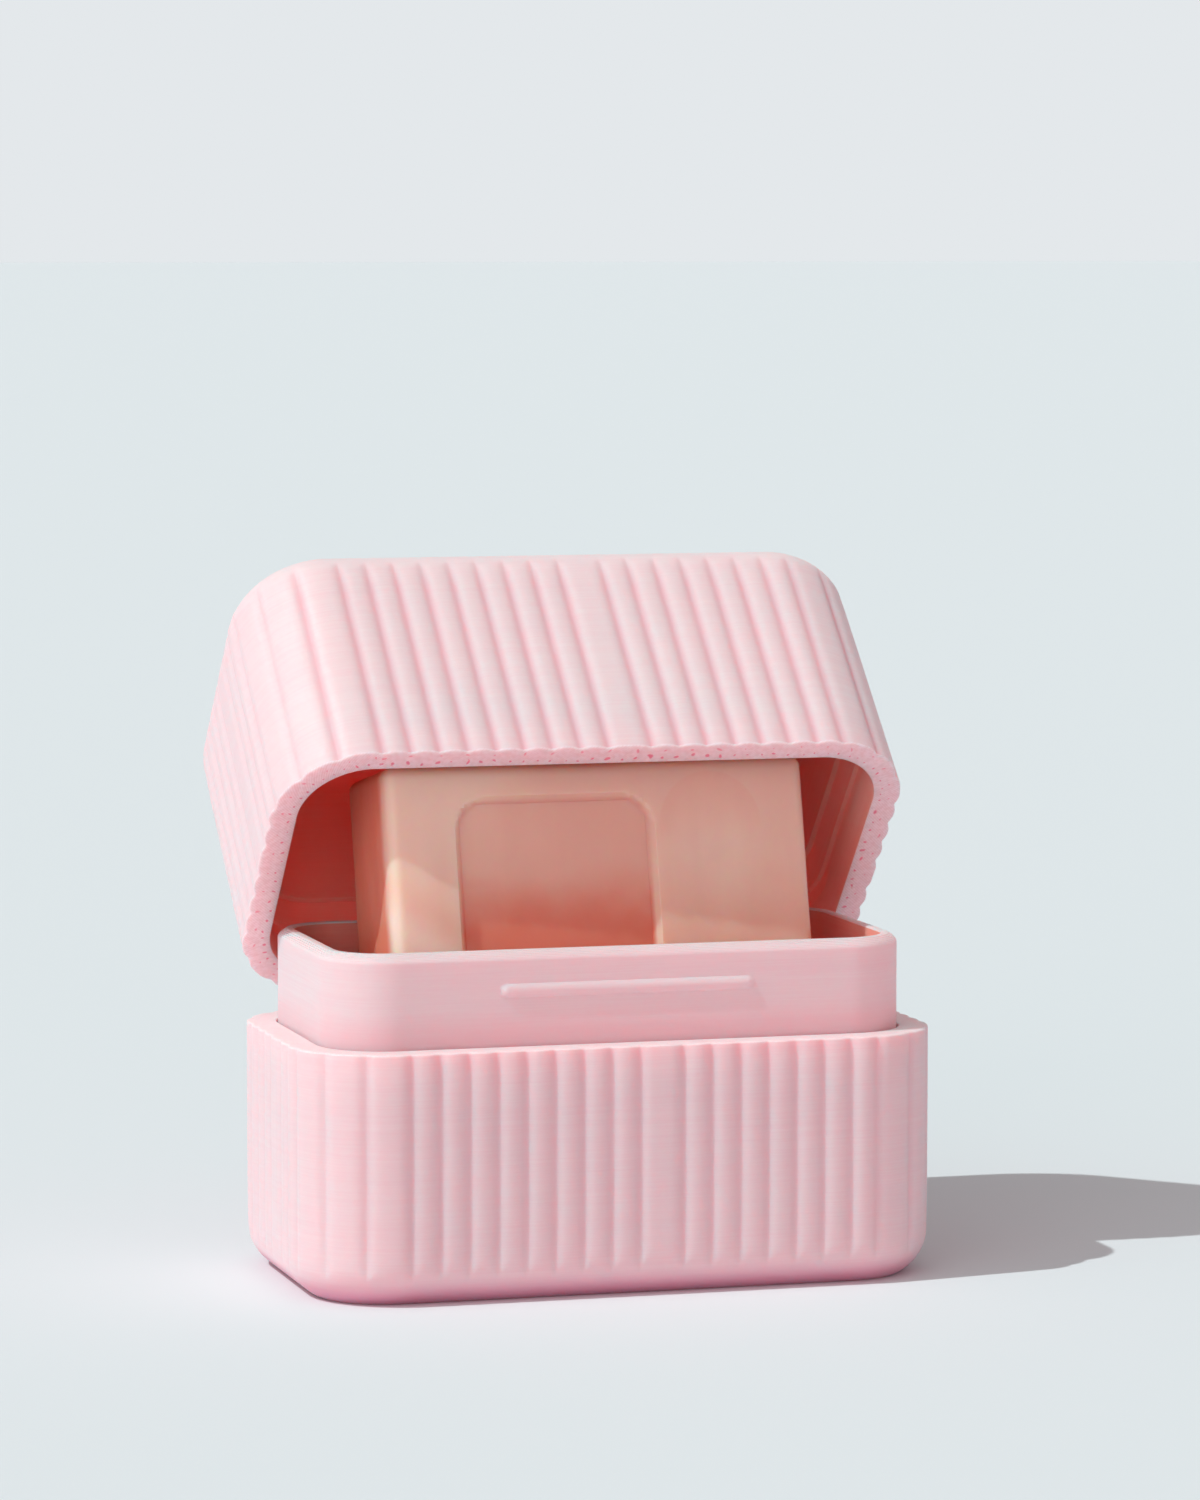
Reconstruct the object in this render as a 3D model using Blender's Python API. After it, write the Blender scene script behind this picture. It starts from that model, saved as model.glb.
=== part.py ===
"""Shampoo bar case: a fluted base around a smooth inner tub, a fluted lid tipped back off it, and the bar."""
import math

import bmesh
import bpy
from mathutils import Euler, Vector

MM = 0.001

# Outline shared by base and lid
case_length = 89.0 * MM
case_depth = 49.5 * MM
corner_radius = 13.2 * MM

# Flutes: rounded lobes between narrow grooves, one wide lobe on each side, three long ones on each corner
flute_pitch = 3.9 * MM
wide_flute = 6.05 * MM
flute_depth = 0.75 * MM
flute_shift = 1.5 * MM
front_flutes = (8, 7)
side_flutes = (3, 2)
corner_flutes = 3
flute_curve = 2.2
flute_point_shares = (0.0, 0.36, 1.0)

# Rounded edge that runs the flutes out at the base's foot and the lid's top
edge_radius = 6.9 * MM
edge_height = 6.2 * MM
edge_ring_shares = (0.0, 0.12, 0.26, 0.42, 0.58, 0.77, 1.0)

# Base shell
base_floor = 2.5 * MM
ledge_width = 4.3 * MM

# Inner tub, whose top is the collar that the lid slides over
tub_gap = 0.3 * MM
tub_wall = 2.2 * MM
tub_floor = 2.0 * MM
tub_foot_radius = 2.4 * MM
collar_height = 12.7 * MM
collar_chamfer = 1.35 * MM

# Snap ridges on the collar's front and rear
ridge_length = 35.0 * MM
ridge_height = 1.9 * MM
ridge_stand = 0.45 * MM
ridge_root = 0.8 * MM
ridge_round = 0.4 * MM
ridge_drop = 5.3 * MM

# Lid
lid_roof = 2.8 * MM
rim_gap = 0.3 * MM
front_play = 0.9 * MM
rear_play = 0.6 * MM
side_play = 0.45 * MM
step_depth = 13.3 * MM
step_width = 0.7 * MM
roof_round = 2.4 * MM
catch_clearance = 0.5 * MM
catch_depth = 0.55 * MM

# Tilt axis of the lid: behind the case and above the ledge
axis_behind = 1.6 * MM
axis_above = 2.4 * MM
lid_tilt = math.radians(47.3)

# Bar
bar_width = 60.0 * MM
bar_thickness = 18.5 * MM
bar_height = 62.6 * MM
bar_round = 1.6 * MM
bar_lean = math.radians(11.7)
bar_turn = math.radians(3.0)
bar_side = 0.3 * MM
bar_back = -0.2 * MM
bar_gap = 0.3 * MM

# Room for the bar: under the lid's front wall as it swings over, and under the roof of the shut lid
swing_clearance = 2.67 * MM
bar_headroom = 0.83 * MM

# Sunk panel on the bar's face
panel_width = 27.5 * MM
panel_height = 30.0 * MM
panel_corner = 4.0 * MM
panel_depth = 1.2 * MM
panel_from_top = 5.0 * MM
panel_from_edge = 10.0 * MM

# Mesh fineness
corner_segments = 10
round_segments = 4
cut_margin = 5.0 * MM

plastic_pink = (0.86, 0.52, 0.58, 1.0)
tub_pink = (0.87, 0.55, 0.60, 1.0)
bar_cream = (0.80, 0.58, 0.46, 1.0)


def clear_scene():
    for old in list(bpy.data.objects):
        bpy.data.objects.remove(old)


def new_collection(name):
    group = bpy.data.collections.new(name)
    bpy.context.scene.collection.children.link(group)
    return group


def make_material(name, colour, roughness):
    material = bpy.data.materials.new(name)
    material.use_nodes = True
    shader = material.node_tree.nodes["Principled BSDF"]
    shader.inputs["Base Color"].default_value = colour
    shader.inputs["Roughness"].default_value = roughness
    shader.inputs["Metallic"].default_value = 0.0
    material.diffuse_color = colour
    return material


def add_object(name, mesh_data, group, material=None):
    mesh = bpy.data.meshes.new(name)
    mesh_data.to_mesh(mesh)
    mesh_data.free()
    piece = bpy.data.objects.new(name, mesh)
    group.objects.link(piece)
    if material:
        mesh.materials.append(material)
    return piece


def as_cutter(piece):
    piece.hide_render = True
    piece.display_type = "WIRE"
    return piece


def boolean(piece, tool, operation):
    step = piece.modifiers.new(operation.title(), "BOOLEAN")
    step.operation = operation
    step.solver = "EXACT"
    step.object = tool


def plain_block(size):
    """Block with its foot at z = 0."""
    block = bmesh.new()
    bmesh.ops.create_cube(block, size=1.0)
    bmesh.ops.scale(block, vec=Vector(size), verts=block.verts)
    bmesh.ops.translate(block, vec=Vector((0.0, 0.0, size[2] / 2)), verts=block.verts)
    return block


def rounded_block(size, corner, top_round=0.0, foot_round=0.0, top_steps=1, foot_steps=1):
    """Upright block with its foot at z = 0, rounded upright edges, and bevels round its top and foot."""
    block = plain_block(size)
    upright = [e for e in block.edges if abs(e.verts[0].co.z - e.verts[1].co.z) > size[2] / 2]
    bmesh.ops.bevel(block, geom=upright, offset=corner, segments=corner_segments, profile=0.5, affect="EDGES")
    for level, width, steps in ((size[2], top_round, top_steps), (0.0, foot_round, foot_steps)):
        if width > 0.0:
            near = size[2] / 4
            loop = [e for e in block.edges if all(abs(v.co.z - level) < near for v in e.verts)]
            bmesh.ops.bevel(block, geom=loop, offset=width, segments=steps, profile=0.5, affect="EDGES")
    return block


# The outline is walked anticlockwise from the middle of the front
straight_length = case_length - 2 * corner_radius
straight_depth = case_depth - 2 * corner_radius
corner_arc = math.pi / 2 * corner_radius
perimeter = 2 * straight_length + 2 * straight_depth + 4 * corner_arc
front_run = sum(front_flutes) * flute_pitch + wide_flute
side_run = sum(side_flutes) * flute_pitch + wide_flute
corner_run = (perimeter - 2 * front_run - 2 * side_run) / 4


def outline_point(distance, inset):
    """Point of the rounded outline at a walked distance, moved inwards by the inset."""
    left = (distance + straight_length / 2) % perimeter
    runs = (
        (straight_length, (0.0, -1.0), (-straight_length / 2, -straight_depth / 2)),
        (straight_depth, (1.0, 0.0), (straight_length / 2, -straight_depth / 2)),
        (straight_length, (0.0, 1.0), (straight_length / 2, straight_depth / 2)),
        (straight_depth, (-1.0, 0.0), (-straight_length / 2, straight_depth / 2)),
    )
    reach = corner_radius - inset
    for length, normal, start in runs:
        along = (-normal[1], normal[0])
        if left <= length:
            return (start[0] + along[0] * left + normal[0] * reach, start[1] + along[1] * left + normal[1] * reach)
        left -= length
        if left <= corner_arc:
            turn = left / corner_radius
            centre = (start[0] + along[0] * length, start[1] + along[1] * length)
            out = [normal[i] * math.cos(turn) + along[i] * math.sin(turn) for i in (0, 1)]
            return (centre[0] + out[0] * reach, centre[1] + out[1] * reach)
        left -= corner_arc
    raise ValueError("distance lies off the outline")


def flute_lengths():
    """Lobe lengths in walking order: front, corner, side, corner, back, corner, side, corner."""
    corner = [corner_run / corner_flutes] * corner_flutes
    front = [flute_pitch] * front_flutes[0] + [wide_flute] + [flute_pitch] * front_flutes[1]
    side = [flute_pitch] * side_flutes[0] + [wide_flute] + [flute_pitch] * side_flutes[1]
    return (front + corner + side + corner) * 2


def flute_points():
    """Walked distances round the case, each with the depth of the flute there."""
    points = []
    half = flute_pitch / 2
    start = flute_shift - front_run / 2
    for length in flute_lengths():
        steps = [share * half for share in flute_point_shares]
        back = [length - step for step in reversed(steps[1:])]
        if length - flute_pitch < half / 2:
            back = back[1:]
        for step in steps + back:
            edge = min(step, length - step) / half
            depth = flute_depth * max(0.0, 1.0 - edge) ** flute_curve
            points.append((start + step, depth))
        start += length
    return points


def edge_inset(height):
    """How far the rounded edge stands in at a height above the end face."""
    if height >= edge_height:
        return 0.0
    fall = edge_height - height
    return edge_radius - math.sqrt(edge_radius ** 2 - fall ** 2)


def fluted_shell(height, round_at_top):
    """Fluted body from z = 0 up, lofted from its rings, with the flutes running out in the rounded edge."""
    shell = bmesh.new()
    levels = [share * edge_height for share in edge_ring_shares] + [height]
    points = flute_points()
    rings = []
    for level in levels:
        inset = edge_inset(level)
        z = height - level if round_at_top else level
        ring = []
        for distance, depth in points:
            x, y = outline_point(distance, max(depth, inset))
            ring.append(shell.verts.new((x, y, z)))
        rings.append(ring)
    for lower, upper in zip(rings, rings[1:]):
        for i in range(len(points)):
            j = (i + 1) % len(points)
            shell.faces.new((lower[i], lower[j], upper[j], upper[i]))
    shell.faces.new(rings[0])
    shell.faces.new(rings[-1])
    bmesh.ops.recalc_face_normals(shell, faces=shell.faces)
    return shell


clear_scene()
case = new_collection("shampoo_bar_case")
cutters = new_collection("cutters")
shell_plastic = make_material("shell_plastic", plastic_pink, 0.55)
tub_plastic = make_material("tub_plastic", tub_pink, 0.5)
lid_plastic = make_material("lid_plastic", plastic_pink, 0.55)
soap = make_material("soap", bar_cream, 0.4)

# The case is made round its bar, which stands on the tub's floor and leans back
tub_foot = base_floor + tub_gap
tub_inside = tub_foot + tub_floor
bar_core = Vector((bar_width / 2 - bar_round, bar_thickness / 2 - bar_round, bar_height / 2 - bar_round))
bar_half_rise = bar_core.y * math.sin(bar_lean) + bar_core.z * math.cos(bar_lean) + bar_round
bar_place = Vector((bar_side, bar_back, tub_inside + bar_gap + bar_half_rise))
bar_top = bar_place.z + bar_half_rise

# The lid's front wall swings over the bar's top front edge, which sets how high the base stands
tub_length = case_length - 2 * ledge_width
tub_depth = case_depth - 2 * ledge_width
lid_front = -tub_depth / 2 - front_play
lid_rear = tub_depth / 2 + rear_play
axis_y = case_depth / 2 + axis_behind
edge_y = bar_core.z * math.sin(bar_lean) - bar_core.y * math.cos(bar_lean)
edge_y = bar_back + edge_y * math.cos(bar_turn) - bar_core.x * math.sin(bar_turn)
edge_reach = axis_y - lid_front - bar_round - swing_clearance
edge_rise = math.sqrt(edge_reach ** 2 - (axis_y - edge_y) ** 2)
axis_z = bar_top - bar_round - edge_rise
base_height = axis_z - axis_above
lid_height = bar_top + bar_headroom + lid_roof - base_height - rim_gap

# Base shell, hollowed for the tub
tub_corner = corner_radius - ledge_width

base_shell = add_object("base_shell", fluted_shell(base_height, False), case, shell_plastic)
base_hollow = as_cutter(add_object(
    "base_hollow",
    rounded_block(
        (tub_length + 2 * tub_gap, tub_depth + 2 * tub_gap, base_height - base_floor + cut_margin),
        tub_corner + tub_gap, foot_round=tub_foot_radius, foot_steps=round_segments),
    cutters))
base_hollow.location = (0.0, 0.0, base_floor)
boolean(base_shell, base_hollow, "DIFFERENCE")

# Inner tub with its collar, hollow and snap ridges
tub_top = base_height + collar_height

inner_tub = add_object(
    "inner_tub",
    rounded_block(
        (tub_length, tub_depth, tub_top - tub_foot), tub_corner,
        top_round=collar_chamfer, foot_round=tub_foot_radius, foot_steps=round_segments),
    case, tub_plastic)
inner_tub.location = (0.0, 0.0, tub_foot)
tub_hollow = as_cutter(add_object(
    "tub_hollow",
    rounded_block(
        (tub_length - 2 * tub_wall, tub_depth - 2 * tub_wall, tub_top - tub_inside + cut_margin),
        tub_corner - tub_wall, foot_round=tub_foot_radius, foot_steps=round_segments),
    cutters))
tub_hollow.location = (0.0, 0.0, tub_inside)
boolean(inner_tub, tub_hollow, "DIFFERENCE")

ridge_level = tub_top - ridge_drop
for side, name in ((-1.0, "front_ridge"), (1.0, "rear_ridge")):
    ridge = as_cutter(add_object(
        name,
        rounded_block(
            (ridge_length, ridge_height, ridge_root + ridge_stand), ridge_height / 3,
            top_round=ridge_round, top_steps=2),
        cutters))
    ridge.rotation_euler = Euler((-side * math.pi / 2, 0.0, 0.0))
    ridge.location = (0.0, side * (tub_depth / 2 - ridge_root), ridge_level)
    boolean(inner_tub, ridge, "UNION")

# Lid, drawn shut around the tilt axis and then tipped back
rim_z = base_height + rim_gap - axis_z
lid_room = (tub_length + 2 * side_play, lid_rear - lid_front)
lid_centre_y = (lid_front + lid_rear) / 2
lid_corner = tub_corner + side_play

lid_body = fluted_shell(lid_height, True)
bmesh.ops.translate(lid_body, vec=Vector((0.0, -axis_y, rim_z)), verts=lid_body.verts)
lid_shell = add_object("lid_shell", lid_body, case, lid_plastic)

lid_hollows = (
    ("lid_mouth", 0.0, -cut_margin, step_depth, step_width),
    ("lid_room", step_width, step_depth / 2, lid_height - lid_roof, roof_round),
)
lid_steps = []
for name, inset, low, high, edge in lid_hollows:
    hollow = rounded_block(
        (lid_room[0] - 2 * inset, lid_room[1] - 2 * inset, high - low), lid_corner - inset,
        top_round=edge, top_steps=1 if inset == 0.0 else round_segments)
    bmesh.ops.translate(hollow, vec=Vector((0.0, lid_centre_y - axis_y, rim_z + low)), verts=hollow.verts)
    lid_steps.append(as_cutter(add_object(name, hollow, cutters)))
catch_height = ridge_height + 2 * catch_clearance
catch_ring = rounded_block(
    (lid_room[0] + 2 * catch_depth, lid_room[1] + 2 * catch_depth, catch_height), lid_corner + catch_depth,
    top_round=catch_depth / 2, foot_round=catch_depth / 2)
catch_spot = Vector((0.0, lid_centre_y - axis_y, ridge_level - axis_z - catch_height / 2))
bmesh.ops.translate(catch_ring, vec=catch_spot, verts=catch_ring.verts)
lid_steps.append(as_cutter(add_object("lid_catch", catch_ring, cutters)))
for cutter in lid_steps:
    boolean(lid_shell, cutter, "DIFFERENCE")
for piece in [lid_shell] + lid_steps:
    piece.location = (0.0, axis_y, axis_z)
    piece.rotation_euler = Euler((-lid_tilt, 0.0, 0.0))

# Bar, with a plain sunk panel on its face
bar_body = plain_block((bar_width, bar_thickness, bar_height))
bmesh.ops.bevel(
    bar_body, geom=bar_body.edges[:], offset=bar_round, segments=round_segments, profile=0.5, affect="EDGES")
bmesh.ops.translate(bar_body, vec=Vector((0.0, 0.0, -bar_height / 2)), verts=bar_body.verts)
shampoo_bar = add_object("shampoo_bar", bar_body, case, soap)

panel_body = rounded_block((panel_width, panel_height, 2 * panel_depth), panel_corner)
panel_turn = Euler((math.pi / 2, 0.0, 0.0)).to_matrix()
bmesh.ops.rotate(panel_body, matrix=panel_turn, verts=panel_body.verts)
panel_spot = Vector((
    -bar_width / 2 + panel_from_edge + panel_width / 2,
    -bar_thickness / 2 + panel_depth,
    bar_height / 2 - panel_from_top - panel_height / 2))
bmesh.ops.translate(panel_body, vec=panel_spot, verts=panel_body.verts)
bar_panel = as_cutter(add_object("bar_panel", panel_body, cutters))
boolean(shampoo_bar, bar_panel, "DIFFERENCE")
for piece in (shampoo_bar, bar_panel):
    piece.location = bar_place
    piece.rotation_euler = Euler((-bar_lean, 0.0, bar_turn))

for piece in case.objects:
    piece.data.shade_smooth()
    piece.data.set_sharp_from_angle(angle=math.radians(40.0))
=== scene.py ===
"""Looks of the shampoo bar case: fluted printed shells, marked rim, waxy bar, lamps and camera."""
import math

import bmesh
import bpy
from mathutils import Euler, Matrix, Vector, noise


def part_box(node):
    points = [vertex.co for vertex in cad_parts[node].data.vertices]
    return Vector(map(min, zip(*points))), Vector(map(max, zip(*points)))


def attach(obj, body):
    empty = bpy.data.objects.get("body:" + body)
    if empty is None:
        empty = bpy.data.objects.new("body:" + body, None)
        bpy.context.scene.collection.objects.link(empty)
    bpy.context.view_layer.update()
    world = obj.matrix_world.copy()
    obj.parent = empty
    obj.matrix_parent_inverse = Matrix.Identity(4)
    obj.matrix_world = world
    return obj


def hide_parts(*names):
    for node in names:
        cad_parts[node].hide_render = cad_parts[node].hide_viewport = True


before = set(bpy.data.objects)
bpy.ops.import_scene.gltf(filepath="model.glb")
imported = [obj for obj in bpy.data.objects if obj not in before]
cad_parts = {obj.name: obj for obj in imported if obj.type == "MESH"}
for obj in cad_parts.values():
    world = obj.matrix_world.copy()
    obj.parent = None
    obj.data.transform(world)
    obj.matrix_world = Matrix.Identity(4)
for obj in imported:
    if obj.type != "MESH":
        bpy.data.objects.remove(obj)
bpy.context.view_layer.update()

MM = 0.001

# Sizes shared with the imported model
case_length = 89.0 * MM
case_depth = 49.5 * MM
corner_radius = 13.2 * MM
flute_pitch = 3.9 * MM
wide_flute = 6.05 * MM
flute_depth = 0.75 * MM
flute_shift = 1.5 * MM
front_flutes = (8, 7)
side_flutes = (3, 2)
corner_flutes = 3
flute_curve = 2.2
edge_radius = 6.9 * MM
edge_height = 6.2 * MM
base_floor = 2.5 * MM
ledge_width = 4.3 * MM
tub_gap = 0.3 * MM
tub_wall = 2.2 * MM
tub_floor = 2.0 * MM
tub_foot_radius = 2.4 * MM
collar_height = 12.7 * MM
collar_chamfer = 1.35 * MM
ridge_length = 35.0 * MM
ridge_height = 1.9 * MM
ridge_stand = 0.45 * MM
ridge_drop = 5.3 * MM
lid_roof = 2.8 * MM
rim_gap = 0.3 * MM
front_play = 0.9 * MM
rear_play = 0.6 * MM
side_play = 0.45 * MM
step_depth = 13.3 * MM
step_width = 0.7 * MM
roof_round = 2.4 * MM
catch_clearance = 0.5 * MM
catch_depth = 0.55 * MM
axis_behind = 1.6 * MM
axis_above = 2.4 * MM
lid_tilt = math.radians(47.3)
bar_width = 60.0 * MM
bar_thickness = 18.5 * MM
bar_height = 62.6 * MM
bar_round = 1.6 * MM
bar_lean = math.radians(11.7)
bar_turn = math.radians(3.0)
bar_side = 0.3 * MM
bar_back = -0.2 * MM
bar_gap = 0.3 * MM
bar_headroom = 0.83 * MM
panel_width = 27.5 * MM
panel_height = 30.0 * MM
panel_corner = 4.0 * MM
panel_depth = 1.2 * MM
panel_from_top = 5.0 * MM
panel_from_edge = 10.0 * MM

# Sizes of the finish
rim_round = 0.25 * MM
valley_round_share = 0.24
flute_steps = 16
wide_steps = 22
edge_steps = 18
wall_steps = 4
ridge_steps = 18
rim_arc_steps = 3
foot_arc_steps = 5
roof_arc_steps = 6
layer = 0.2 * MM
layer_bulge_shares = ((0.2, 0.0), (0.75, 0.08), (1.0, 0.55))
ridge_clear = 0.35 * MM
ridge_blunt = 0.8
ridge_reach_in = 0.01 * MM
collar_start = 1.5 * MM
hole_edge = 0.1 * MM
room_edge = 0.12 * MM
ledge_shares = (0.35, 0.7, 0.97)
rim_shares = (0.3, 0.6, 0.95)
panel_blend = 0.6 * MM
bar_cell = 0.5 * MM
bar_skin = 0.1 * MM
bar_wear = 0.22 * MM
bar_wear_scale = 180.0
bar_swells = ((0.14 * MM, 60.0), (0.03 * MM, 260.0))
sharp_angle = math.radians(38.0)

# Camera of the photograph
camera_turn = math.radians(16.06)
camera_drop = math.radians(5.055)
camera_place = Vector((-215.74, -756.2, 140.5)) * MM
focal_pixels = 5809.0
photo_height = 1500.0
sensor_side = 36.0
camera_sees = (0.01, 100.0)

# Walk round the outline, anticlockwise from the middle of the front
straight_length = case_length - 2 * corner_radius
straight_depth = case_depth - 2 * corner_radius
corner_arc = math.pi / 2 * corner_radius
outline_runs = (straight_length, corner_arc, straight_depth, corner_arc) * 2
perimeter = sum(outline_runs)
front_run = sum(front_flutes) * flute_pitch + wide_flute
side_run = sum(side_flutes) * flute_pitch + wide_flute
corner_run = (perimeter - 2 * front_run - 2 * side_run) / 4


def outline_place(distance):
    """Number of the side or corner that a walked distance falls in, and the share of it that is walked."""
    left = (distance + straight_length / 2) % perimeter
    for index, run in enumerate(outline_runs):
        if left <= run:
            return index, left / run
        left -= run
    return len(outline_runs) - 1, 1.0


def outline_point(distance, half_length, half_depth, radius, middle=0.0):
    """Point of a rounded rectangle at the same place of its walk as on the case's outline."""
    index, share = outline_place(distance)
    normal = ((0.0, -1.0), (1.0, 0.0), (0.0, 1.0), (-1.0, 0.0))[index // 2]
    along = (-normal[1], normal[0])
    run, reach = (half_length - radius, half_depth - radius)[::1 if index // 2 % 2 == 0 else -1]
    if index % 2 == 0:
        step = run * (2 * share - 1)
        x, y = (normal[i] * (reach + radius) + along[i] * step for i in (0, 1))
    else:
        turn = share * math.pi / 2
        x, y = (
            normal[i] * (reach + radius * math.cos(turn)) + along[i] * (run + radius * math.sin(turn))
            for i in (0, 1))
    return x, y + middle


def flute_lengths():
    """Lobe lengths in walking order: front, corner, side, corner, back, corner, side, corner."""
    corner = [corner_run / corner_flutes] * corner_flutes
    front = [flute_pitch] * front_flutes[0] + [wide_flute] + [flute_pitch] * front_flutes[1]
    side = [flute_pitch] * side_flutes[0] + [wide_flute] + [flute_pitch] * side_flutes[1]
    return (front + corner + side + corner) * 2


def walk_points():
    """Walked distances round the case, closest in the grooves, each with the groove's depth there."""
    points = []
    half = flute_pitch / 2
    start = flute_shift - front_run / 2
    for length in flute_lengths():
        count = wide_steps if length == wide_flute else flute_steps
        for k in range(count):
            step = length * (0.5 - 0.5 * math.cos(math.pi * k / count))
            edge = math.hypot(min(step, length - step) / half, valley_round_share)
            points.append((start + step, flute_depth * max(0.0, 1.0 - edge) ** flute_curve))
        start += length
    return points


walk = walk_points()


def smooth_max(a, b, blend):
    """Larger of two values, with a rounded change from one to the other."""
    near = max(blend - abs(a - b), 0.0) / blend
    return max(a, b) + near * near * blend / 4


def edge_inset(height):
    """How far the rounded edge stands in at a height above the end face."""
    if height >= edge_height:
        return 0.0
    fall = edge_height - height
    return edge_radius - math.sqrt(edge_radius ** 2 - fall ** 2)


def cut_ring(z, cuts):
    """Ring of the case's outline, moved inwards at each point by that point's cut."""
    ring = []
    for (distance, depth), cut in zip(walk, cuts):
        x, y = outline_point(distance, case_length / 2 - cut, case_depth / 2 - cut, corner_radius - cut)
        ring.append(Vector((x, y, z)))
    return ring


def shell_ring(z, inset):
    """Ring of the fluted outside, whose grooves run out where the rounded edge stands in further."""
    return cut_ring(z, [smooth_max(depth, inset, rim_round) for distance, depth in walk])


def rim_ring(z, inset):
    """Ring of the fluted outside, all of it moved inwards by the inset."""
    return cut_ring(z, [depth + inset for distance, depth in walk])


def plain_ring(z, half_length, half_depth, radius, middle=0.0):
    """Ring of a smooth rounded rectangle, with its points at the same places of the walk."""
    return [Vector((*outline_point(d, half_length, half_depth, radius, middle), z)) for d, depth in walk]


def between(ring, other, share):
    """Ring that lies a share of the way from one ring to another."""
    return [a.lerp(b, share) for a, b in zip(ring, other)]


def arc(steps):
    """Angles of a quarter turn in equal steps, with both ends."""
    return [math.pi / 2 * k / steps for k in range(steps + 1)]


class Loft:
    """Closed mesh through rings of equal count, capped at both ends; a ring's tag numbers its finish."""

    def __init__(self):
        self.rings = []
        self.tags = []
        self.zero = 0

    def add(self, ring, tag=0):
        self.rings.append(ring)
        self.tags.append(tag)

    def runs(self):
        """Distance of each point along its own column, in millimetres, from the ring numbered zero."""
        rows = [[0.0] * len(walk)]
        for low, high in zip(self.rings, self.rings[1:]):
            rows.append([run + (b - a).length / MM for run, a, b in zip(rows[-1], low, high)])
        zero = list(rows[self.zero])
        return [[run - start for run, start in zip(row, zero)] for row in rows]

    def build(self, name, shift=(0.0, 0.0, 0.0)):
        """Piece made of the rings, with a map of walked distances and one of the groove's depth share."""
        mesh_data = bmesh.new()
        uv = mesh_data.loops.layers.uv.new("walk")
        groove = mesh_data.loops.layers.uv.new("groove")
        sunk = [(depth / flute_depth, 0.0) for distance, depth in walk]
        rows = [[mesh_data.verts.new(point + Vector(shift)) for point in ring] for ring in self.rings]
        runs = self.runs()
        walked = [distance / MM for distance, depth in walk]
        walked.append(walked[0] + perimeter / MM)
        count = len(walk)
        for r, tag in enumerate(self.tags[1:]):
            for i in range(count):
                j = (i + 1) % count
                face = mesh_data.faces.new((rows[r][i], rows[r][j], rows[r + 1][j], rows[r + 1][i]))
                face.material_index = tag
                face.smooth = True
                spots = (
                    (walked[i], runs[r][i]), (walked[i + 1], runs[r][j]),
                    (walked[i + 1], runs[r + 1][j]), (walked[i], runs[r + 1][i]))
                for loop, spot, column in zip(face.loops, spots, (i, j, j, i)):
                    loop[uv].uv = spot
                    loop[groove].uv = sunk[column]
        for row, tag in ((rows[0], self.tags[1]), (rows[-1], self.tags[-1])):
            face = mesh_data.faces.new(row)
            face.material_index = tag
        bmesh.ops.recalc_face_normals(mesh_data, faces=mesh_data.faces)
        return new_piece(name, mesh_data)


def new_piece(name, mesh_data):
    """Object in the scene made from the mesh data, with its sharp edges marked."""
    mesh = bpy.data.meshes.new(name)
    mesh_data.to_mesh(mesh)
    mesh_data.free()
    mesh.set_sharp_from_angle(angle=sharp_angle)
    piece = bpy.data.objects.new(name, mesh)
    bpy.context.scene.collection.objects.link(piece)
    return piece


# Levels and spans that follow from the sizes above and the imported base
base_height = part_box("base_shell")[1][2]
tub_length = case_length - 2 * ledge_width
tub_depth = case_depth - 2 * ledge_width
tub_corner = corner_radius - ledge_width
tub_foot = base_floor + tub_gap
tub_top = base_height + collar_height
tub_inside = tub_foot + tub_floor
ridge_level = tub_top - ridge_drop
axis_y = case_depth / 2 + axis_behind
axis_z = base_height + axis_above
bar_half = Vector((bar_width, bar_thickness, bar_height)) / 2
bar_half_rise = (bar_half.y - bar_round) * math.sin(bar_lean)
bar_half_rise += (bar_half.z - bar_round) * math.cos(bar_lean) + bar_round
bar_place = Vector((bar_side, bar_back, tub_inside + bar_gap + bar_half_rise))
lid_height = bar_place.z + bar_half_rise + bar_headroom + lid_roof - base_height - rim_gap


def build_base():
    """Fluted base with a rounded foot, a level ledge and the hole that the tub stands in."""
    base = Loft()
    for k in range(edge_steps + 1):
        z = edge_height * k / edge_steps
        base.add(shell_ring(z, edge_inset(z)))
    wall_rise = (base_height - rim_round - edge_height) / wall_steps
    for k in range(1, wall_steps + 1):
        base.add(rim_ring(edge_height + wall_rise * k, 0.0))
    for angle in arc(rim_arc_steps)[1:]:
        inset = rim_round * (1 - math.cos(angle))
        base.add(rim_ring(base_height - rim_round * (1 - math.sin(angle)), inset), 1)
    hole = (tub_length / 2 + tub_gap, tub_depth / 2 + tub_gap, tub_corner + tub_gap)
    outer = base.rings[-1]
    for share in ledge_shares:
        base.add(between(outer, plain_ring(base_height, *hole), share), 1)
    base.add(plain_ring(base_height - hole_edge, *hole), 1)
    base.zero = len(base.rings) - 1
    for angle in arc(foot_arc_steps):
        inset = tub_foot_radius * (1 - math.cos(angle))
        z = base_floor + tub_foot_radius * (1 - math.sin(angle))
        base.add(plain_ring(z, *(size - inset for size in hole)))
    return base.build("base_fluted_shell")


def ridge_lift(x, y, z):
    """How far a snap ridge lifts the collar's front or rear face, with rounded ends."""
    rise = abs(z - ridge_level) / (ridge_height / 2)
    end = (abs(x) - ridge_length / 2) / (ridge_height / 2) + 1.0
    away = math.hypot(rise, max(end, 0.0))
    if away >= 1.0 or abs(y) < tub_depth / 2 - ridge_reach_in:
        return 0.0
    return ridge_stand * (1.0 - away ** 2.0) ** ridge_blunt


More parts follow.
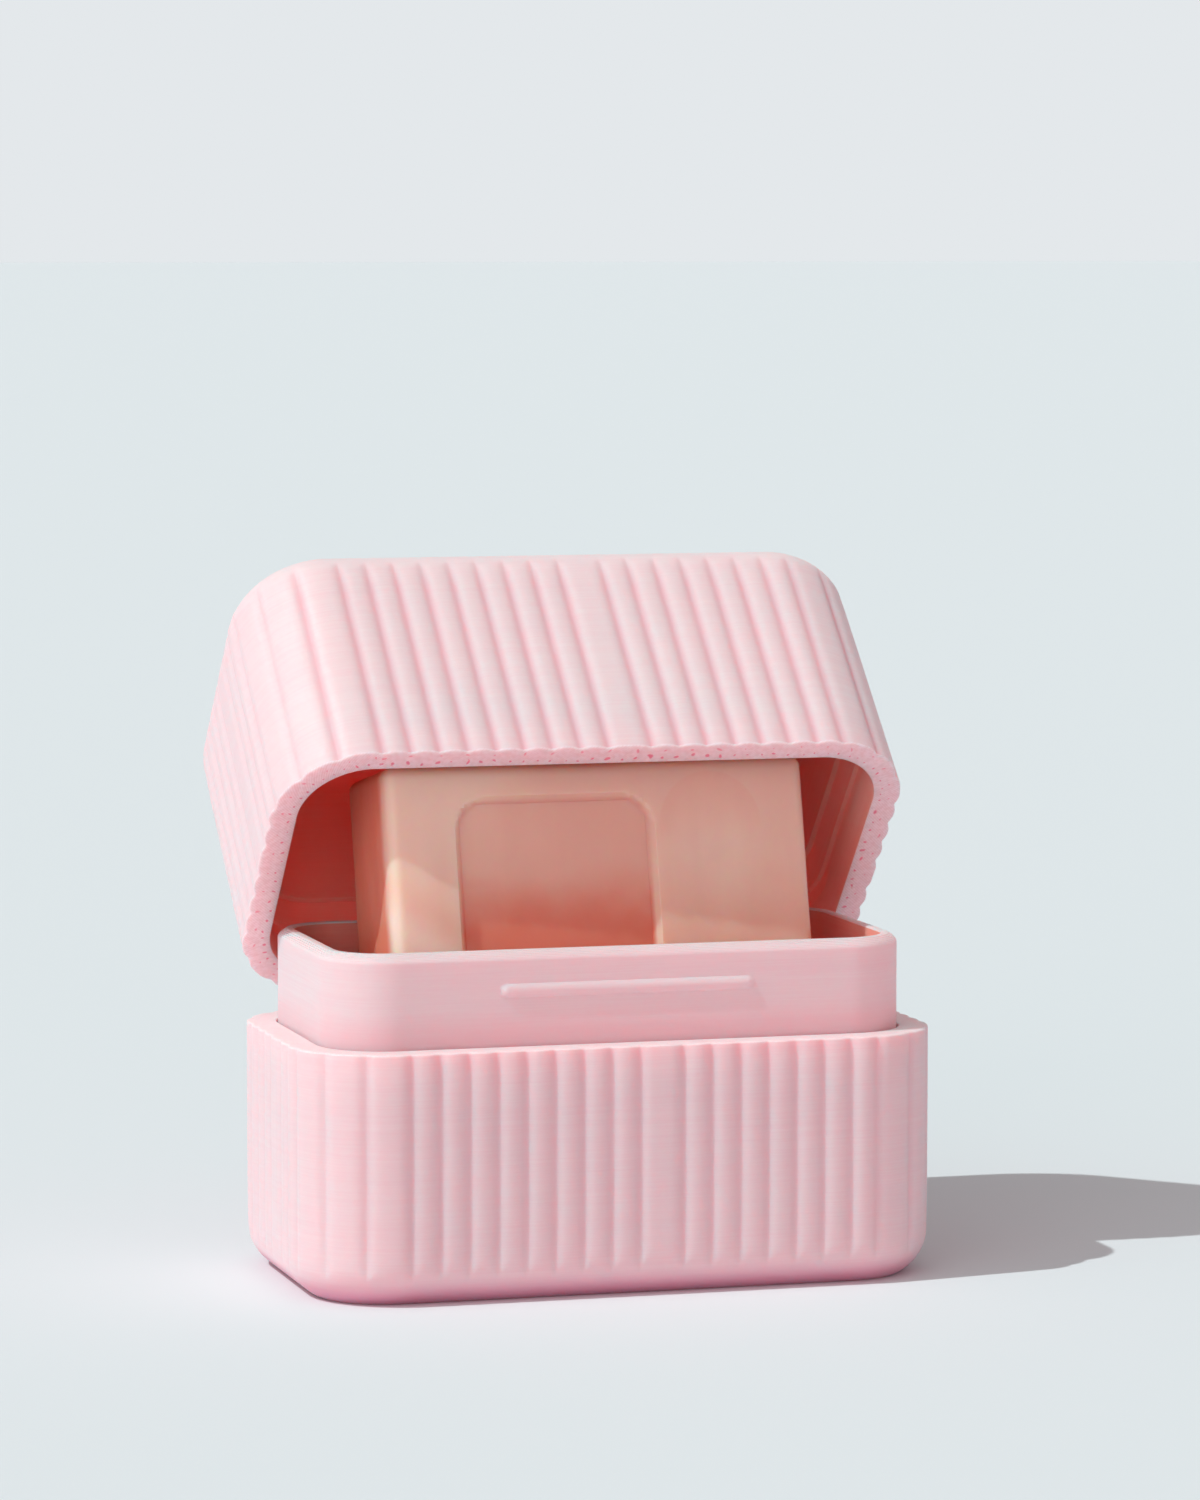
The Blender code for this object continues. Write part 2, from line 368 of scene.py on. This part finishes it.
def build_tub():
    """Tub with a rounded foot, two snap ridges on its collar, a layered top edge and a bare inside."""
    tub = Loft()

    def wall(z, inset, tag=0):
        ring = plain_ring(z, tub_length / 2 - inset, tub_depth / 2 - inset, tub_corner - inset)
        for point in ring:
            point.y += math.copysign(ridge_lift(*point), point.y)
        tub.add(ring, tag)

    for angle in reversed(arc(foot_arc_steps)):
        wall(tub_foot + tub_foot_radius * (1 - math.sin(angle)), tub_foot_radius * (1 - math.cos(angle)))
    for z in (base_height - collar_height, base_height):
        wall(z, 0.0)
    ridge_low = ridge_level - ridge_height / 2
    ridge_high = ridge_level + ridge_height / 2
    for z in (base_height + collar_start, ridge_low - 3 * ridge_clear, ridge_low - ridge_clear):
        wall(z, 0.0)
    for k in range(ridge_steps + 1):
        wall(ridge_low + ridge_height * k / ridge_steps, 0.0)
    chamfer_foot = tub_top - collar_chamfer
    for z in (ridge_high + ridge_clear, ridge_high + 3 * ridge_clear, chamfer_foot - ridge_clear):
        wall(z, 0.0)
    steps = round(collar_chamfer / layer)
    rise = collar_chamfer / steps
    for k in range(steps):
        inset, inset_next = (collar_chamfer * (1 - math.cos(math.pi / 2 * n / steps)) for n in (k, k + 1))
        for rise_share, step_share in layer_bulge_shares:
            wall(chamfer_foot + rise * (k + rise_share), inset + (inset_next - inset) * step_share)
    wall(tub_top, collar_chamfer)
    for angle in arc(rim_arc_steps):
        wall(tub_top - rim_round * (1 - math.cos(angle)), tub_wall - rim_round * (1 - math.sin(angle)))
    for angle in arc(foot_arc_steps):
        inset = tub_wall + tub_foot_radius * (1 - math.cos(angle))
        wall(tub_inside + tub_foot_radius * (1 - math.sin(angle)), inset, 1)
    return tub.build("tub_with_collar")


def build_lid():
    """Fluted lid, tipped back, with a marked rim, a straight guide, the catch groove, a step and a roof."""
    lid = Loft()
    lid_front = -tub_depth / 2 - front_play
    lid_rear = tub_depth / 2 + rear_play
    room_depth = (lid_rear - lid_front) / 2
    room_middle = (lid_front + lid_rear) / 2
    room_length = tub_length / 2 + side_play
    room_corner = tub_corner + side_play

    def room(z, inset, tag=2):
        lid.add(plain_ring(
            z, room_length - inset, room_depth - inset, room_corner - inset, room_middle), tag)

    for k in range(edge_steps + 1):
        z = edge_height * k / edge_steps
        lid.add(shell_ring(lid_height - z, edge_inset(z)))
    wall_fall = (lid_height - edge_height - rim_round) / wall_steps
    for k in range(1, wall_steps + 1):
        lid.add(rim_ring(lid_height - edge_height - wall_fall * k, 0.0))
    for angle in arc(rim_arc_steps)[1:]:
        lid.add(rim_ring(rim_round * (1 - math.sin(angle)), rim_round * (1 - math.cos(angle))), 1)
    outer = lid.rings[-1]
    inner = plain_ring(0.0, room_length, room_depth, room_corner, room_middle)
    for share in rim_shares:
        lid.add(between(outer, inner, share), 1)
    room(room_edge, 0.0, 1)
    lid.zero = len(lid.rings) - 1
    catch_height = ridge_height + 2 * catch_clearance
    catch_low = ridge_level - base_height - rim_gap - catch_height / 2
    slope = catch_depth / 2
    for z, inset in (
        (catch_low, 0.0),
        (catch_low + slope, -catch_depth),
        (catch_low + catch_height - slope, -catch_depth),
        (catch_low + catch_height, 0.0),
        (step_depth, 0.0),
        (step_depth + layer, step_width),
    ):
        room(z, inset)
    for angle in arc(roof_arc_steps):
        inset = step_width + roof_round * (1 - math.cos(angle))
        room(lid_height - lid_roof - roof_round * (1 - math.sin(angle)), inset)
    piece = lid.build("lid_fluted_shell", (0.0, -axis_y, base_height + rim_gap - axis_z))
    piece.location = (0.0, axis_y, axis_z)
    piece.rotation_euler = Euler((-lid_tilt, 0.0, 0.0))
    return piece


def panel_sink(x, z):
    """Share of its full depth that the sunk panel has at a place on the bar's face."""
    away = (
        abs(x + bar_half.x - panel_from_edge - panel_width / 2) - panel_width / 2 + panel_corner,
        abs(z - bar_half.z + panel_from_top + panel_height / 2) - panel_height / 2 + panel_corner)
    gap = math.hypot(*(max(step, 0.0) for step in away)) + min(max(away), 0.0) - panel_corner
    share = max(0.0, min(1.0, 0.5 - gap / panel_blend))
    return share * share * (3 - 2 * share)


def build_bar():
    """Bar with rounded, slightly worn and uneven edges and a plain sunk panel."""
    mesh_data = bmesh.new()
    bmesh.ops.create_cube(mesh_data, size=2.0)
    bmesh.ops.scale(mesh_data, vec=bar_half, verts=mesh_data.verts)
    for axis in range(3):
        half = bar_half[axis]
        edges = [e for e in mesh_data.edges if abs(e.verts[0].co[axis] - e.verts[1].co[axis]) > half]
        bmesh.ops.subdivide_edges(mesh_data, edges=edges, cuts=int(2 * half / bar_cell), use_grid_fill=True)
    for v in mesh_data.verts:
        at_front = v.co.y < bar_skin - bar_half.y
        sink = panel_depth * panel_sink(v.co.x, v.co.z) if at_front else 0.0
        core = Vector([max(bar_round - h, min(h - bar_round, c)) for h, c in zip(bar_half, v.co)])
        normal = (v.co - core).normalized()
        flatness = max(abs(c) for c in normal)
        wear = bar_wear * max(0.0, 1.0 - flatness) * (1 + noise.noise(v.co * bar_wear_scale))
        swell = sum(noise.noise(v.co * scale) * most for most, scale in bar_swells)
        v.co = core + normal * (bar_round - bar_skin - swell - wear)
        v.co.y += sink
    for face in mesh_data.faces:
        face.smooth = True
    piece = new_piece("soap_bar", mesh_data)
    piece.location = bar_place
    piece.rotation_euler = Euler((-bar_lean, 0.0, bar_turn))
    return piece


class Graph:
    """Short names for making the nodes of one material."""

    def __init__(self, name):
        self.material = bpy.data.materials.new(name)
        self.material.use_nodes = True
        self.nodes = self.material.node_tree.nodes
        self.links = self.material.node_tree.links
        self.shader = self.nodes["Principled BSDF"]

    def set(self, socket, value):
        """Links an output to the socket, or writes a plain value into it."""
        if hasattr(value, "is_output"):
            self.links.new(value, socket)
        else:
            socket.default_value = value

    def math(self, kind, *values):
        """Result of one Math node."""
        node = self.nodes.new("ShaderNodeMath")
        node.operation = kind
        for socket, value in zip(node.inputs, values):
            self.set(socket, value)
        return node.outputs[0]

    def total(self, *parts):
        """Sum of values, each with its weight."""
        total = None
        for value, weight in parts:
            part = self.math("MULTIPLY", value, weight)
            total = part if total is None else self.math("ADD", total, part)
        return total

    def distance(self, a, b):
        """Length of the slanting side over two steps at right angles."""
        squares = [self.math("POWER", step, 2.0) for step in (a, b)]
        return self.math("SQRT", self.math("ADD", *squares))

    def point(self, scale=(1.0, 1.0, 1.0)):
        """Object coordinates, stretched by a scale."""
        node = self.nodes.new("ShaderNodeVectorMath")
        node.operation = "MULTIPLY"
        self.set(node.inputs[0], self.nodes.new("ShaderNodeTexCoord").outputs["Object"])
        node.inputs[1].default_value = scale
        return node.outputs[0]

    def split(self, vector):
        """The three numbers of a vector."""
        node = self.nodes.new("ShaderNodeSeparateXYZ")
        self.links.new(vector, node.inputs[0])
        return node.outputs

    def mapped(self, layer_name):
        """First and second number of a map that the loft wrote."""
        node = self.nodes.new("ShaderNodeUVMap")
        node.uv_map = layer_name
        return self.split(node.outputs[0])[:2]

    def noise(self, point, scale=1.0, detail=2.0):
        """Soft noise at a point, from 0 to 1."""
        node = self.nodes.new("ShaderNodeTexNoise")
        self.set(node.inputs["Vector"], point)
        node.inputs["Scale"].default_value = scale
        node.inputs["Detail"].default_value = detail
        return node.outputs["Fac"]

    def ramp(self, value, low, high, to_low=0.0, to_high=1.0):
        """Smooth change from one number to another while the value goes from low to high."""
        node = self.nodes.new("ShaderNodeMapRange")
        node.interpolation_type = "SMOOTHSTEP"
        self.set(node.inputs["Value"], value)
        for name, number in (("From Min", low), ("From Max", high), ("To Min", to_low), ("To Max", to_high)):
            self.set(node.inputs[name], number)
        return node.outputs["Result"]

    def mix(self, factor, a, b):
        """Colour between two colours."""
        node = self.nodes.new("ShaderNodeMix")
        node.data_type = "RGBA"
        self.set(node.inputs["Factor"], factor)
        self.set(node.inputs[6], a)
        self.set(node.inputs[7], b)
        return node.outputs[2]

    def bump(self, height, strength, distance):
        """Shading of a fine relief."""
        node = self.nodes.new("ShaderNodeBump")
        self.set(node.inputs["Height"], height)
        node.inputs["Strength"].default_value = strength
        node.inputs["Distance"].default_value = distance
        return node.outputs["Normal"]

    def glow(self, reach, sheen=0.0):
        """Light that travels inside the material, with its reach for each colour, and a soft sheen."""
        for name, value in (
            ("Subsurface Weight", 1.0),
            ("Subsurface Radius", reach),
            ("Subsurface Scale", MM),
            ("Sheen Weight", sheen),
            ("Sheen Roughness", 0.5),
            ("IOR", surface_ior),
        ):
            self.shader.inputs[name].default_value = value

    def finish(self, colour, rough, normal=None):
        """Material with its colour, roughness and relief in place."""
        self.set(self.shader.inputs["Base Color"], colour)
        self.set(self.shader.inputs["Roughness"], rough)
        if normal:
            self.set(self.shader.inputs["Normal"], normal)
        return self.material


# Colours of the plastic, some of them painted glow and shade, and how many millimetres each colour of light
# travels inside it
pink = (0.885, 0.685, 0.695, 1)
pink_dark = (0.875, 0.645, 0.665, 1)
# Painted red glow of light bouncing inside the lid
lid_inside_glow_pink = (0.98, 0.55, 0.45, 1)
lid_inside_glow_dark = (0.97, 0.51, 0.41, 1)
# Painted red glow of light bouncing inside the tub
tub_inside_glow_pink = (0.98, 0.35, 0.28, 1)
tub_inside_glow_dark = (0.97, 0.31, 0.25, 1)
# Painted shade in the grooves
groove_shade_pink = (0.87, 0.50, 0.54, 1)
# Painted shade at the base's foot, by the floor
foot_shade_pink = (0.70, 0.24, 0.37, 1)
# Painted glow and shade at the collar's foot, by the ledge
collar_glow_shade_pink = (1.0, 0.43, 0.48, 1)
# Print marks, painted darker as shade in their pits
mark_pit_shade_pink = (0.85, 0.22, 0.32, 1)
# Painted glow of the lid's rim, where light comes out through the wall's end
rim_glow_pink = (0.97, 0.80, 0.82, 1)
plastic_reach = (7.0, 0.6, 0.55)
rim_reach = (3.0, 1.0, 0.9)
tub_reach = (3.5, 1.0, 0.8)
inside_reach = (14.0, 1.2, 1.0)
plastic_sheen = 0.25
surface_ior = 1.46

# Values between which a noise mostly lies
noise_span = (0.3, 0.7)

# Noise scales of the print, per metre, across the walls and up them
cloud_scale = 60.0
line_scales = (90.0, 90.0, 5200.0)
band_scales = (30.0, 30.0, 1300.0)
grain_scales = (1100.0, 1100.0, 3500.0)
print_tones = (0.35, 0.65)
print_rough = (0.6, 0.5)
print_bump = 0.12
print_relief = 0.1 * MM

# Painted shade of the shells: a groove's painted shade fades on the side that the strong lamp lights; the
# base's foot gets painted shade, and the collar's foot a painted glow and shade
groove_from_share = 0.1
groove_full_share = 0.65
base_groove_shade_share = 0.35
lid_groove_shade_share = 1.0
lit_groove_share = 0.2
lit_from = 1.5 * MM - case_length / 2
lit_to = 9.0 * MM - case_length / 2
foot_shade_rise = 4.0 * MM
foot_shade_share = 0.9
collar_glow_shade_rise = 6.0 * MM
collar_glow_shade_share = 0.65


def printed_plastic(name, dark, light, reach, grooves=None, foot=None):
    """Printed plastic with fine level lines and faint clouds, with painted shade in its grooves and a
    painted tint near its foot: shade at the base's foot, glow and shade at the collar's foot.
    """
    graph = Graph(name)
    cloud = graph.noise(graph.point(), cloud_scale)
    lines = graph.noise(graph.point(line_scales), detail=1.0)
    bands = graph.noise(graph.point(band_scales))
    grain = graph.noise(graph.point(grain_scales))
    tone = graph.total((lines, 0.4), (bands, 0.3), (cloud, 0.2), (grain, 0.1))
    height = graph.total((lines, 0.7), (bands, 0.3), (grain, 0.15))
    graph.glow(reach, plastic_sheen)
    colour = graph.mix(graph.ramp(tone, *print_tones), dark, light)
    # Painted shade in the grooves, weaker on the side that the strong lamp lights
    if grooves:
        wall_height, share = grooves
        across = graph.math("ABSOLUTE", graph.mapped("walk")[1])
        run_out = graph.ramp(across, (wall_height - edge_height) / MM, wall_height / MM, 1.0, 0.0)
        depth_share = graph.mapped("groove")[0]
        sunk = graph.ramp(depth_share, groove_from_share, groove_full_share, 0.0, share)
        sunk = graph.math("MULTIPLY", sunk, run_out)
        x = graph.split(graph.point())[0]
        sunk = graph.math("MULTIPLY", sunk, graph.ramp(x, lit_from, lit_to, lit_groove_share, 1.0))
        colour = graph.mix(sunk, colour, groove_shade_pink)
    # Painted shade at the base's foot, and painted glow and shade at the collar's foot by the ledge
    if foot:
        level, rise, share, tint = foot
        z = graph.split(graph.point())[2]
        colour = graph.mix(graph.ramp(z, level, level + rise, share, 0.0), colour, tint)
    rough = graph.ramp(tone, *noise_span, *print_rough)
    return graph.finish(colour, rough, graph.bump(height, print_bump, print_relief))


# Marks on the walls' cut ends, painted darker as shade in their pits: rows with pitch, place across, size
# and start in millimetres, and strength
base_marks = ((3.9, 2.2, 0.12, 0.0, 0.25),)
lid_marks = ((1.97, 1.05, 0.23, 0.3, 0.9), (3.9, 2.3, 0.2, 1.4, 0.65))
mark_shake = 2.2
mark_shake_scale = 420.0
mark_drop = 1.6
mark_drop_scale = 500.0
mark_sizes = (0.6, 1.25)
mark_size_scale = 240.0
mark_edge = (0.6, 1.3)
stroke_turns = 13.0
stroke_share = 0.12
stroke_grain_scale = 1500.0
end_rough = 0.55
end_bump = 0.25


def wall_end(name, light, rows):
    """Cut end of a printed wall: rows of small marks along it, painted darker as shade in their pits, over
    faint slanting strokes.
    """
    graph = Graph(name)
    along, across = graph.mapped("walk")
    shake = graph.math("SUBTRACT", graph.noise(graph.point(), mark_shake_scale, 1.0), 0.5)
    other_shake = graph.math("SUBTRACT", graph.noise(graph.point(), mark_drop_scale, 1.0), 0.5)
    size_noise = graph.noise(graph.point(), mark_size_scale, 1.0)
    marks = 0.0
    for pitch, place, size, start, most in rows:
        step = graph.total((along, 1.0), (shake, mark_shake))
        step = graph.math("FRACT", graph.math("DIVIDE", graph.math("ADD", step, start), pitch))
        step = graph.math("MULTIPLY", graph.math("SUBTRACT", step, 0.5), pitch)
        drop = graph.math("ADD", graph.total((across, 1.0), (other_shake, mark_drop)), place)
        away = graph.distance(step, drop)
        reach = graph.math("MULTIPLY", graph.ramp(size_noise, *noise_span, *mark_sizes), size)
        mark = graph.ramp(graph.math("DIVIDE", away, reach), *mark_edge, most, 0.0)
        marks = graph.math("MAXIMUM", marks, mark)
    slant = graph.math("SINE", graph.math("MULTIPLY", graph.math("ADD", along, across), stroke_turns))
    grain = graph.noise(graph.point(), stroke_grain_scale)
    strokes = graph.total((slant, stroke_share), (grain, 1.0))
    colour = graph.mix(graph.ramp(strokes, *noise_span), pink, light)
    # The marks are painted darker as shade in their pits
    colour = graph.mix(marks, colour, mark_pit_shade_pink)
    graph.glow(rim_reach, plastic_sheen)
    relief = graph.total((strokes, 0.4), (marks, -1.0))
    return graph.finish(colour, end_rough, graph.bump(relief, end_bump, print_relief))


# Colours of the soap, with painted red shade and glow and a painted sunlit patch, and where its tones
# change, from the middle of the bar
soap_cream = (0.89, 0.68, 0.55, 1)
soap_pink = (0.83, 0.57, 0.46, 1)
# Painted red shade of the sides, back and panel, and painted red glow low down
soap_shade_red = (0.80, 0.25, 0.16, 1)
# Painted sunlit patch
soap_sunlit = (0.93, 0.79, 0.69, 1)
soap_reach = (6.0, 1.8, 1.0)
soap_tones = (0.3, 0.62)
soap_rough = (0.38, 0.52)
soap_bump = 0.2
soap_relief = 0.15 * MM
soap_cloud_scale = 45.0
patch_scale = 28.0
patch_edge = (0.47, 0.52)
soap_grain_scale = 900.0
scuff_scales = (300.0, 300.0, 40.0)
scuff_tones = (0.35, 0.65)
drift_scale = 110.0
# Painted red shade of the sides and back starts behind the front's skin, where the painted sunlit patch
# stops
side_from = 0.8 * MM - bar_half.y
side_to = 4.0 * MM - bar_half.y
side_drift = 2.0 * MM
side_shade_share = 0.95
# Painted shade on the panel's floor
panel_from = panel_depth / 3 - bar_half.y
panel_to = panel_depth - bar_half.y
panel_shade_shares = (1.0, 0.25)
# Levels of the painted red glow low down, which also make the panel's painted shade stronger low down
band_low = 8.0 * MM
band_high = 18.0 * MM
band_drift = 8.0 * MM
low_glow_share = 0.2
# Painted sunlit patch on the front's lower left corner
sunlit_from = -bar_half.x * 0.6
sunlit_to = -bar_half.x * 0.32
sunlit_slope = 1.2
sunlit_drift = 6.0 * MM
sunlit_share = 0.9
dome_along = 16.0 * MM
dome_up = 22.0 * MM
dome_reach = 7.5 * MM
dome_edge = 0.4 * MM
dome_fade = 3.0 * MM
dome_share = 0.12
cream_fall = -6.0


def soap_wax(name):
    """Waxy soap with soft clouds and scuffs, a painted sunlit lower corner, a faint arc, painted red shade
    on its sides, back and panel, and a painted red glow low down.
    """
    graph = Graph(name)
    along, back, up = graph.split(graph.point())
    drift = graph.math("SUBTRACT", graph.noise(graph.point(), drift_scale, 3.0), 0.5)

    # Painted sunlit patch on the front's lower left corner
    corner = graph.total((along, 1.0), (up, sunlit_slope), (drift, sunlit_drift))
    sunlit_patch = graph.ramp(corner, sunlit_from, sunlit_to, sunlit_share, 0.0)
    sunlit_patch = graph.math("MULTIPLY", sunlit_patch, graph.ramp(back, side_from, side_to, 1.0, 0.0))

    away = graph.distance(graph.math("SUBTRACT", along, dome_along), graph.math("SUBTRACT", up, dome_up))
    dome = graph.ramp(away, dome_reach - dome_edge, dome_reach, dome_share, 0.0)
    dome = graph.math("MULTIPLY", dome, graph.ramp(up, dome_up - dome_fade, dome_up + dome_fade))

    # Painted red shade on the sides, back and panel floor, and a painted red glow low down
    level = graph.total((up, 1.0), (drift, band_drift))
    side = graph.total((back, 1.0), (drift, side_drift))
    side = graph.ramp(side, side_from, side_to, 0.0, side_shade_share)
    sunk = graph.ramp(back, panel_from, panel_to)
    sunk = graph.math("MULTIPLY", sunk, graph.ramp(level, band_low, band_high, *panel_shade_shares))
    band = graph.ramp(level, band_low, band_high, low_glow_share, 0.0)
    red_shade_and_arc = graph.math("MAXIMUM", side, graph.math("MAXIMUM", band, sunk))
    red_shade_and_arc = graph.math("ADD", red_shade_and_arc, dome)

    cloud = graph.noise(graph.point(), soap_cloud_scale, 3.0)
    patch = graph.ramp(graph.noise(graph.point(), patch_scale, 1.0), *patch_edge)
    grain = graph.noise(graph.point(), soap_grain_scale, 3.0)
    scuff = graph.noise(graph.point(scuff_scales), detail=3.0)
    tone = graph.total((cloud, 0.6), (patch, 0.12), (scuff, 0.2), (along, cream_fall))
    graph.glow(soap_reach)
    colour = graph.mix(graph.ramp(tone, *soap_tones), soap_pink, soap_cream)
    colour = graph.mix(red_shade_and_arc, colour, soap_shade_red)
    colour = graph.mix(sunlit_patch, colour, soap_sunlit)
    relief = graph.total((grain, 0.5), (scuff, 1.0), (patch, 0.15))
    rough = graph.ramp(scuff, *scuff_tones, *soap_rough)
    return graph.finish(colour, rough, graph.bump(relief, soap_bump, soap_relief))


# Pieces on the frame
# The base's grooves and foot get painted shade
shell_plastic = printed_plastic(
    "shell_plastic", pink_dark, pink, plastic_reach,
    grooves=(base_height, base_groove_shade_share), foot=(0.0, foot_shade_rise, foot_shade_share, foot_shade_pink))
# The collar's foot gets a painted glow and shade by the ledge
tub_plastic = printed_plastic(
    "tub_plastic", pink_dark, pink, plastic_reach,
    foot=(base_height, collar_glow_shade_rise, collar_glow_shade_share, collar_glow_shade_pink))
# The tub's inside has a painted red glow
tub_inner = printed_plastic("tub_inner", tub_inside_glow_dark, tub_inside_glow_pink, tub_reach)
lid_plastic = printed_plastic(
    "lid_plastic", pink_dark, pink, plastic_reach, grooves=(lid_height, lid_groove_shade_share))
# The lid's inside has a painted red glow
lid_inner = printed_plastic("lid_inner", lid_inside_glow_dark, lid_inside_glow_pink, inside_reach)
base_end = wall_end("base_wall_end", pink_dark, base_marks)
# The lid's cut end is lighter, with a painted glow
lid_end = wall_end("lid_wall_end", rim_glow_pink, lid_marks)
for piece, node, body, slot_name, finishes in (
    (build_base(), "base_shell", "base", "shell", (shell_plastic, base_end)),
    (build_tub(), "inner_tub", "base", "tub", (tub_plastic, tub_inner)),
    (build_lid(), "lid_shell", "lid", "lid", (lid_plastic, lid_end, lid_inner)),
    (build_bar(), "shampoo_bar", "base", "soap", (soap_wax("soap_wax"),)),
):
    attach(piece, body)
    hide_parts(node)
    for finish in finishes:
        piece.data.materials.append(finish)

# Floor and world, which meet without a seam
backdrop_tone = (0.775, 0.807, 0.831, 1)
floor_bounce = (0.82, 0.62, 0.70, 1)
floor_half = 30.0
world_tint = (1.05, 1.0, 1.0, 1)
world_strength = 0.35
floor_data = bmesh.new()
bmesh.ops.create_grid(floor_data, x_segments=1, y_segments=1, size=floor_half)
floor = new_piece("floor", floor_data)


def seen_directly(tree):
    """Socket that is 1 for camera rays and for what gloss and glass show of the surroundings."""
    rays = tree.nodes.new("ShaderNodeLightPath")
    total = rays.outputs["Is Camera Ray"]
    for name in ("Is Glossy Ray", "Is Transmission Ray"):
        node = tree.nodes.new("ShaderNodeMath")
        node.operation = "MAXIMUM"
        tree.links.new(total, node.inputs[0])
        tree.links.new(rays.outputs[name], node.inputs[1])
        total = node.outputs[0]
    return total


floor_graph = Graph("floor_paint")
floor_seen = seen_directly(floor_graph.material.node_tree)
floor_colour = floor_graph.mix(floor_seen, floor_bounce, backdrop_tone)
floor.data.materials.append(floor_graph.finish(floor_colour, 1.0))

world = bpy.data.worlds.new("studio")
bpy.context.scene.world = world
world.use_nodes = True
tree = world.node_tree
tree.nodes.clear()
output = tree.nodes.new("ShaderNodeOutputWorld")
blend = tree.nodes.new("ShaderNodeMixShader")
for socket, tint, strength in ((1, world_tint, world_strength), (2, backdrop_tone, 1.0)):
    background = tree.nodes.new("ShaderNodeBackground")
    background.inputs["Color"].default_value = tint
    background.inputs["Strength"].default_value = strength
    tree.links.new(background.outputs[0], blend.inputs[socket])
tree.links.new(seen_directly(tree), blend.inputs[0])
tree.links.new(blend.outputs[0], output.inputs[0])

# Lamps: the way the light goes, its strength, the width of its source in degrees and its colour
key_sun = ((0.75, 0.125, -1.0), 2.08, 0.8, (0.9, 1.0, 0.99))
soft_front = ((0.55, 1.0, -0.1), 0.899, 50.0, (1.0, 0.6345, 0.6483))
soft_left = ((0.9, 0.5, -0.6), 0.4, 60.0, (0.75, 1.0, 1.0))


def sun_lamp(name, way, strength, width, colour):
    """Lamp so far away that its light is the same everywhere."""
    data = bpy.data.lights.new(name, "SUN")
    data.energy = strength
    data.angle = math.radians(width)
    data.color = colour
    lamp = bpy.data.objects.new(name, data)
    lamp.rotation_euler = Vector(way).to_track_quat("-Z", "Y").to_euler()
    bpy.context.scene.collection.objects.link(lamp)


sun_lamp("key_sun", *key_sun)
sun_lamp("soft_front", *soft_front)
sun_lamp("soft_left", *soft_left)

# Camera
camera_data = bpy.data.cameras.new("camera")
camera_data.sensor_fit = "VERTICAL"
camera_data.sensor_height = sensor_side
camera_data.lens = focal_pixels / photo_height * sensor_side
camera_data.clip_start, camera_data.clip_end = camera_sees
camera = bpy.data.objects.new("camera", camera_data)
camera.location = camera_place
camera.rotation_euler = Euler((math.pi / 2 - camera_drop, 0.0, -camera_turn))
bpy.context.scene.collection.objects.link(camera)
bpy.context.scene.camera = camera
bpy.context.scene.view_settings.view_transform = "Standard"
